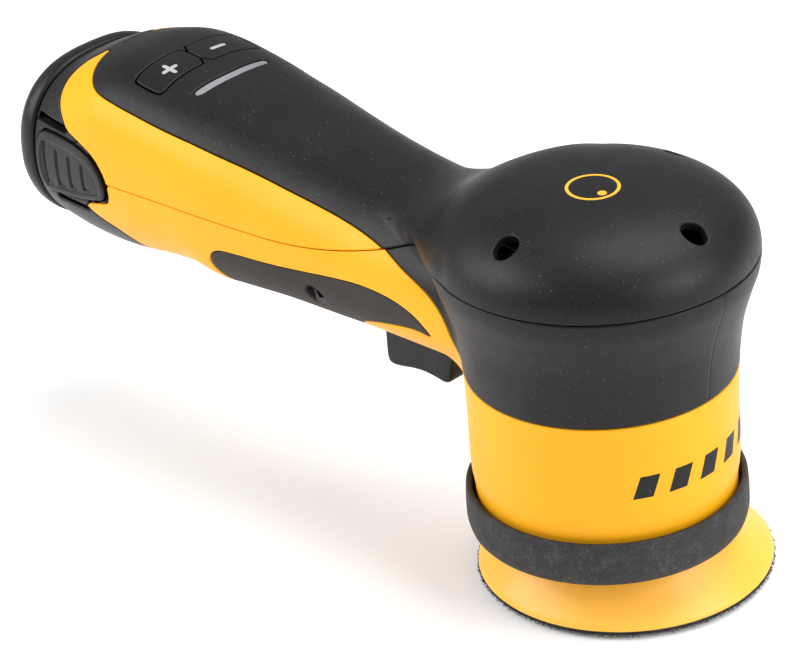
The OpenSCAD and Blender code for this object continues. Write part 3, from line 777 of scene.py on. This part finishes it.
def make_materials():
    made = {}
    made["yellow_plastic"] = plastic(
        "yellow_satin", (0.90, 0.395, 0.008), (0.94, 0.42, 0.010), 0.40, 1800, 0.05,
        Specular_IOR_Level=0.22)
    made["soft_black"] = plastic(
        "soft_touch", (0.006, 0.006, 0.0068), (0.009, 0.009, 0.0102), 0.42, 2400, 0.26,
        specks=(0.09, 0.09, 0.086), Specular_IOR_Level=0.24)
    made["soft_grey"] = plastic(
        "soft_grip", (0.024, 0.020, 0.018), (0.032, 0.027, 0.025), 0.60, 2200, 0.25,
        Specular_IOR_Level=0.28)
    made["black_plastic"] = plastic(
        "black_moulding", (0.006, 0.006, 0.0066), (0.009, 0.009, 0.010), 0.40, 2400, 0.16,
        specks=(0.07, 0.07, 0.067), Specular_IOR_Level=0.28)
    made["skirt_rubber"] = dusty(
        "dusty_ring", (0.013, 0.013, 0.0135), (0.075, 0.074, 0.07), 0.70, 1600, 0.23, 0.50, 0.16)
    # The pad's emission is painted light: a faint orange glow that lifts the shade on its front.
    made["pad_rubber"] = plastic(
        "cast_pad_painted_glow", (0.98, 0.47, 0.045), (1.0, 0.51, 0.065), 0.42, 700, 0.10,
        Emission_Color=(1.0, 0.42, 0.04, 1), Emission_Strength=0.12,
        Subsurface_Weight=0.35, Subsurface_Radius=(0.006, 0.002, 0.0006),
        Subsurface_Scale=1.0)
    made["hook_fabric"] = fabric_hooks("hook_weave")
    made["plate_foil"] = metal("satin_foil", (0.62, 0.55, 0.48), (0.72, 0.65, 0.58), 0.42,
                               (1, 14, 1), 200)
    made["light_lens"] = plastic(
        "light_guide", (0.17, 0.175, 0.185), (0.26, 0.265, 0.275), 0.3, 900, 0.1,
        Coat_Weight=0.3)
    made["circuit_board"] = plastic(
        "solder_mask", (0.01, 0.10, 0.035), (0.02, 0.17, 0.06), 0.35, 500, 0.1)
    made["steel"] = metal("ground_steel", (0.50, 0.51, 0.53), (0.68, 0.69, 0.71), 0.28)
    made["alloy"] = metal("cast_alloy", (0.50, 0.51, 0.53), (0.66, 0.67, 0.69), 0.42,
                          (1, 1, 1), 700)
    made["lamination"] = metal("stacked_sheets", (0.20, 0.21, 0.22), (0.42, 0.43, 0.45), 0.45,
                               (0.1, 0.1, 20), 120)
    made["magnet"] = metal("nickel_plate", (0.50, 0.50, 0.50), (0.60, 0.60, 0.60), 0.2,
                           (1, 1, 1), 400)
    made["copper"] = metal("enamelled_wire", (0.45, 0.15, 0.05), (0.72, 0.30, 0.12), 0.35,
                           (1, 1, 30), 150)
    made["brass"] = metal("turned_brass", (0.50, 0.36, 0.12), (0.70, 0.52, 0.22), 0.32,
                          (1, 1, 1), 500)
    made["dark_screw"] = metal("black_oxide", (0.05, 0.05, 0.052), (0.10, 0.10, 0.105), 0.42,
                               (1, 1, 1), 600)
    made["lead_jacket"] = plastic(
        "silicone_lead", (0.50, 0.36, 0.03), (0.60, 0.45, 0.05), 0.5, 800, 0.1)
    made["cell_wrap"] = plastic(
        "shrink_wrap", (0.02, 0.08, 0.22), (0.03, 0.12, 0.30), 0.25, 300, 0.08)
    made["glyph"] = plastic("pad_print_grey", (0.34, 0.35, 0.36), (0.42, 0.43, 0.44), 0.5,
                            1500, 0.1)
    made["mark_yellow"] = plastic("pad_print_yellow", (0.80, 0.40, 0.02),
                                  (0.86, 0.45, 0.03), 0.45, 1500, 0.1)
    return made


MATERIALS = make_materials()


def finish_piece(obj, body, slot, *nodes, material=None):
    """Gives a piece the material of its slot, or the one named, and its body, and hides the CAD nodes
    it stands for.
    """
    obj.data.materials.clear()
    obj.data.materials.append(MATERIALS[material or slot])
    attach(obj, body)
    if nodes:
        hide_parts(*nodes)
    return obj


def paint_cad_nodes():
    """Every carried-over CAD node takes the procedural material of its slot."""
    slots = {row["node"]: row["material_slot"] for row in frame["record"]["subparts"]}
    for name, obj in frame["nodes"].items():
        material = MATERIALS[slots[name]]
        if not obj.data.materials:
            obj.data.materials.append(material)
        for i in range(len(obj.data.materials)):
            obj.data.materials[i] = material


# Pieces of the skin

def near_latch(P):
    """How far the walls round the latches stand straight across the tool."""
    return np.clip((in_latch(P[:, 0], P[:, 2]) + 7) / 4, 0, 1)


def build_shells():
    look = {"top_cover": (2.3, 0.5, "soft_black"), "upper_shell": (2.3, 0.4, "yellow_plastic"),
            "lower_shell": (2.3, 0.4, "yellow_plastic"), "head_band": (2.3, 0.5, "soft_black"),
            "grip_inlay": (1.6, 0.7, "soft_grey"), "battery_case": (2.3, 0.6, "black_plastic")}
    for name, (thick, fillet, slot) in look.items():
        body = "battery" if name == "battery_case" else "housing"
        straight = None
        if name in ("battery_case", "lower_shell", "upper_shell"):
            straight = near_latch
        obj = skin_piece(name + "_skin", REGIONS[name], thick, fillet, straight=straight)
        finish_piece(obj, body, slot, name)


def build_keys():
    near = (SKIN_P, SKIN_T[(SKIN_P[SKIN_T[:, 0], 0] < -120) & (SKIN_P[SKIN_T[:, 0], 2] > 95)])
    for name, side in (("key_plus", -1), ("key_minus", 1)):
        area = where(top, lambda P, s=side: np.minimum(key_field(P, s), s * P[:, 1] - 0.15))
        obj = skin_piece(name + "_cap", area, 3.2, 0.4, KEY_GAP, base=near, fine=1)
        finish_piece(obj, name, "soft_black", name)

        def glyph(P, s=side):
            x, y = P[:, 0] + 141.6, P[:, 1] - s * 9.0 + 1.0
            bar = 0.62 - np.hypot(x, y - np.clip(y, -2.1, 2.1))
            if s < 0:
                post = 0.62 - np.hypot(x - np.clip(x, -2.1, 2.1), y)
                bar = np.maximum(bar, post)
            return np.where(P[:, 2] > 92, bar, -9.0)
        obj = skin_piece(name + "_sign", glyph, 0.4, 0.05, 0.0, 0.05, base=near, fine=2)
        finish_piece(obj, name, "soft_black", material="glyph")
    obj = skin_piece("light_guide", where_not(top, xy(in_bar)), 2.0, 0.3, 0.1, -0.45,
                     base=near, fine=1)
    finish_piece(obj, "housing", "light_lens", "light_bar")


def latch_relief(P):
    """A sunk panel inside a raised rim, with four thin grooves that each turn at the foot."""
    inside = in_latch(P[:, 0], P[:, 2] + 0.4) - 2.0
    near = np.full(len(P), 9.0)
    for i, (low, high) in enumerate(LATCH_GROOVES):
        x = P[:, 0] + 176.6 - 5.8 * i
        post = np.hypot(x, P[:, 2] - np.clip(P[:, 2], low, high))
        foot = np.hypot(x - np.clip(x, 0, 1.7), P[:, 2] - low)
        near = np.minimum(near, np.minimum(post, foot))
    panel = -0.4 * np.clip(inside / 0.5, 0, 1)
    return panel - 0.75 * np.clip((0.62 - near) / 0.35, 0, 1)


def build_latches():
    for name, side in (("latch_left", 1), ("latch_right", -1)):
        area = both(xz(in_latch), lambda P, s=side: s * P[:, 1] - 5)
        obj = skin_piece(name + "_grip", area, 1.8, 0.6, 0.15, 0.6, handle, fine=2,
                         relief=latch_relief, straight=lambda P: np.ones(len(P)))
        finish_piece(obj, name, "black_plastic", name)


def build_battery_core():
    rings = [handle_ring(-182.2, 4.6), handle_ring(-152, 4.8), handle_ring(-151.2, 5.4)]
    steps = [(-151.1, STICK_R + 0.6), (-150.4, STICK_R), (-110, STICK_R), (-108.4, 20.6),
             (-108, 19.6)]
    rings += [circle_ring(x, r) for x, r in steps]
    obj = loft("battery_stick", rings)
    finish_piece(obj, "battery", "black_plastic")


def build_end_cap():
    """The closing cap: a proud rim, a soft turn, a shallow groove and a flat back."""
    profile = [(-182.2, 2.0), (-182.2, 0.4), (-182.5, -0.1), (-183.0, -0.35), (-185.0, -0.4),
               (-186.6, -0.1), (-188.2, 0.7), (-189.6, 2.1), (-190.5, 3.9), (-190.95, 6.0),
               (-191.0, 7.4), (-190.5, 7.9), (-190.5, 9.2), (-190.8, 9.8), (-190.9, 14.0)]
    rings = [handle_ring(x, inset, 128, -181.5) for x, inset in profile][::-1]
    finish_piece(loft("battery_back", rings, 35), "battery", "black_plastic",
                 "battery_end_cap")


# Head, ring and pad

def build_ring():
    profile = rounded([(31.4, 16.6), (33.6, 15.7), (35.6, 16.8), (36.35, 19.6), (36.35, 24.4),
                       (36.1, 28.2), (35.4, 28.65), (34.6, 28.4), (34.3, 24.0), (31.4, 23.6)],
                      0.9, 4)
    finish_piece(lathe("dust_ring", profile, steps=192), "housing", "skirt_rubber",
                 "skirt_ring")


def build_pad():
    flank = [(38.45, 1.7), (38.4, 2.2), (37.5, 3.3), (35.3, 5.5), (33.0, 7.9), (31.0, 10.4),
             (29.4, 12.6), (28.2, 14.2), (27.4, 14.75)]
    profile = flank + [(10.0, 14.75), (10.0, 12.6), (26.0, 12.6), (26.0, 9.05), (8.6, 9.05),
                       (8.6, 1.7)]
    obj = lathe("foam_pad", profile, (0, ORBIT, 0), steps=192, crease=40)
    finish_piece(obj, "pad", "pad_rubber", "pad_body")


def build_hooks():
    """The hook facing: a thin disc whose face and rim carry small bent hooks."""
    disc = lathe("hook_disc", [(8.6, 0.75), (38.3, 0.75), (38.4, 1.65), (8.6, 1.65)],
                 (0, ORBIT, 0), steps=192)
    finish_piece(disc, "pad", "hook_fabric", "hook_face")
    points, faces = [], []
    stand = np.radians(np.array([0, 50, 110, 170, 215]))

    def hook(foot, out, side, size):
        base = sum(len(p) for p in points)
        path = foot + size * (np.outer(np.sin(stand), side) * 0.5
                              + np.outer((1 - np.cos(stand)) * 0.5, out))
        thick = 0.1
        ring = [side * thick, np.cross(out, side) * thick, -side * thick]
        shape = np.stack([p + r for p in path for r in ring])
        points.append(shape)
        for i in range(len(path) - 1):
            for k in range(3):
                a, b = base + 3 * i + k, base + 3 * i + (k + 1) % 3
                faces.append((a, b, b + 3, a + 3))
        faces.append((base, base + 2, base + 1))
        end = base + 3 * (len(path) - 1)
        faces.append((end, end + 1, end + 2))

    for angle in np.arange(0, 2 * math.pi, 0.2 / PAD_R):
        a = angle + rng.normal(0, 0.002)
        radial = np.array([math.cos(a), math.sin(a), 0.0])
        turn = rng.uniform(0, 2 * math.pi)
        across = np.array([-radial[1], radial[0], 0.0])
        side = math.cos(turn) * across + math.sin(turn) * np.array([0, 0, 1.0])
        tilt = rng.uniform(-0.9, 0.2)
        out = unit(radial + np.array([0, 0, tilt]))
        side = unit(side - out * side.dot(out))
        foot = radial * rng.uniform(37.6, 38.2) + np.array([0, ORBIT, rng.uniform(0.75, 1.5)])
        hook(foot, out, side, rng.uniform(0.65, 1.1))
    spacing = 1.35
    for i in np.arange(-37.5, 37.6, spacing):
        for j in np.arange(-37.5, 37.6, spacing):
            x, y = i + rng.normal(0, 0.12), j + rng.normal(0, 0.12)
            if not 9.2 < math.hypot(x, y) < 37.6:
                continue
            turn = rng.uniform(0, 2 * math.pi)
            side = np.array([math.cos(turn), math.sin(turn), 0.0])
            hook(np.array([x, y + ORBIT, 0.8]), np.array([0, 0, -1.0]), side, 0.68)
    obj = put_mesh("hook_pile", np.concatenate(points), faces)
    tidy_mesh(obj, 60, join=False)
    finish_piece(obj, "pad", "hook_fabric")


def build_trigger():
    shape = [(-69.6, 47), (-69.5, 42.2), (-67.6, 41.0), (-64, 41.5), (-60, 42.3),
             (-56, 42.6), (-52, 42.2), (-49.2, 41.6), (-47.0, 42.0), (-46.2, 44.5),
             (-45.6, 48), (-43.6, 53), (-42.5, 57), (-42.6, 60.5), (-44.2, 63.6),
             (-47.8, 63.6), (-50.5, 60.4), (-54, 58.7), (-66, 58.4), (-68.4, 56.4), (-69.5, 53)]
    profile = chaikin(shape, 2)
    obj = prism("trigger_paddle", profile, 7.5, 1.0)
    finish_piece(obj, "trigger", "black_plastic", "trigger")


def build_hole_sleeves():
    """Blind wells below the screw holes of the cap and the grip, open to their screws."""
    for i, (x, y) in enumerate(CAP_HOLES):
        well = [(3.3, 93.2), (3.3, 102.2), (4.3, 102.2), (4.3, 93.2)]
        obj = lathe(f"cap_well_{i}", well, (x, y, 0), steps=48)
        finish_piece(obj, "housing", "soft_black")
    half, low, high, _ = (np.interp(GRIP_HOLE[0], FINE_X, row) for row in FINE_ROWS)
    for name, side in (("grip_well_0", -1), ("grip_well_1", 1)):
        well = [(3.25, 0.6), (3.9, 0.6), (3.9, 6.0), (2.1, 6.0), (2.1, 5.2), (3.25, 5.2)]
        obj = lathe(name, well, steps=48)
        points = np.array([v.co for v in obj.data.vertices]) / MM
        z = GRIP_HOLE[1] + points[:, 1]
        flank = half * np.sqrt(1 - ((z - (low + high) / 2) * 2 / (high - low)) ** 2)
        y = np.where(points[:, 2] < 1, flank - 0.9, 23.8 - points[:, 2])
        placed = np.stack([GRIP_HOLE[0] + points[:, 0], side * y, z], 1) * MM
        obj.data.vertices.foreach_set("co", placed.ravel())
        tidy_mesh(obj)
        finish_piece(obj, "housing", "soft_black")


def build_marks():
    """Plain shapes where the tool is printed: a ring with a dot, and slanted bars."""
    near = (SKIN_P, SKIN_T[SKIN_P[SKIN_T[:, 0], 0] > -12])

    def orbit_ring(P):
        x, y = P[:, 0] - 3.4, P[:, 1] + 3.6
        ring = 0.42 - np.abs(np.hypot(x, y) - 6.4)
        dot = 1.15 - np.hypot(x - 4.0, y + 1.2)
        return np.where(P[:, 2] > 104, np.maximum(ring, dot), -9.0)
    obj = skin_piece("orbit_mark", orbit_ring, 0.3, 0.04, 0.0, 0.05, base=near, fine=2)
    finish_piece(obj, "housing", "soft_black", material="mark_yellow")

    def bars(P):
        z = P[:, 2] - 43.2
        arc = np.arctan2(P[:, 1], P[:, 0]) * 34.4
        best = np.full(len(P), -9.0)
        for i in range(5):
            u = arc - (-19 + 9.5 * i) - 0.35 * z
            best = np.maximum(best, np.minimum(2.6 - np.abs(u), 3.0 - np.abs(z)))
        return np.where(P[:, 0] > 0, best, -9.0)
    obj = skin_piece("front_bars", bars, 0.3, 0.04, 0.0, 0.05, base=near, fine=2)
    finish_piece(obj, "housing", "soft_black")


# Stage

def build_stage():
    floor = bpy.data.meshes.new("floor")
    size = 3.0
    floor.from_pydata([(-size, -size, 0), (size, -size, 0), (size, size, 0), (-size, size, 0)],
                      [], [(0, 1, 2, 3)])
    obj = bpy.data.objects.new("floor", floor)
    obj.location.z = -0.0006
    bpy.context.scene.collection.objects.link(obj)
    mat, tree, shader = nodes_of("floor_pale", (0.93, 0.93, 0.93), 0.9,
                                 Emission_Color=(1, 1, 1, 1), Emission_Strength=0.07)
    tone = ramp(tree, noise(tree, 3, 2), [(0.3, grey(0.92)), (0.7, grey(0.94))])
    tree.links.new(tone, shader.inputs["Base Color"])
    floor.materials.append(mat)

    world = bpy.data.worlds.new("soft_white")
    bpy.context.scene.world = world
    world.use_nodes = True
    back = world.node_tree.nodes["Background"]
    back.inputs["Color"].default_value = (1, 1, 1, 1)
    back.inputs["Strength"].default_value = 0.42
    bpy.context.scene.view_settings.view_transform = "Standard"

    lamps = [("left_light", (-0.75, -0.75, 0.75), 0.9, 13),
             ("top_light", (0.15, 0.35, 1.15), 0.8, 10),
             ("right_light", (0.95, 0.25, 0.55), 0.7, 8)]
    target = np.array([-0.06, 0, 0.06])
    for name, place, width, power in lamps:
        data = bpy.data.lights.new(name, "AREA")
        data.size = width
        data.energy = power
        lamp = bpy.data.objects.new(name, data)
        bpy.context.scene.collection.objects.link(lamp)
        lamp.matrix_world = looking(np.array(place), target)


def looking(place, target):
    """A matrix that stands at place and looks at target, with +Z up."""
    back = unit(place - target)
    right = unit(np.cross([0, 0, 1.0], back))
    up = np.cross(back, right)
    return Matrix(np.vstack([np.column_stack([right, up, back, place]), [0, 0, 0, 1]]))


def build_camera():
    rise, turn, roll = (math.radians(a) for a in (27.94, 45.80, -4.657))
    right = np.array([1.0, 0, 0])
    back = np.array([0, -math.cos(rise), math.sin(rise)])
    up = np.array([0, math.sin(rise), math.cos(rise)])
    c, s = math.cos(turn), math.sin(turn)
    spin = np.array([[c, -s, 0], [s, c, 0], [0, 0, 1]])
    r = spin @ (math.cos(roll) * right + math.sin(roll) * up)
    u = spin @ (-math.sin(roll) * right + math.cos(roll) * up)
    place = np.array([0.49204, -0.5478, 0.4642])
    data = bpy.data.cameras.new("camera")
    data.lens = 150
    data.sensor_width = 36
    cam = bpy.data.objects.new("camera", data)
    bpy.context.scene.collection.objects.link(cam)
    columns = np.column_stack([r, u, spin @ back, place])
    cam.matrix_world = Matrix(np.vstack([columns, [0, 0, 0, 1]]))
    bpy.context.scene.camera = cam


build_camera()
build_stage()
paint_cad_nodes()
build_shells()
build_keys()
build_latches()
build_battery_core()
build_end_cap()
build_ring()
build_pad()
build_hooks()
build_trigger()
build_hole_sleeves()
build_marks()
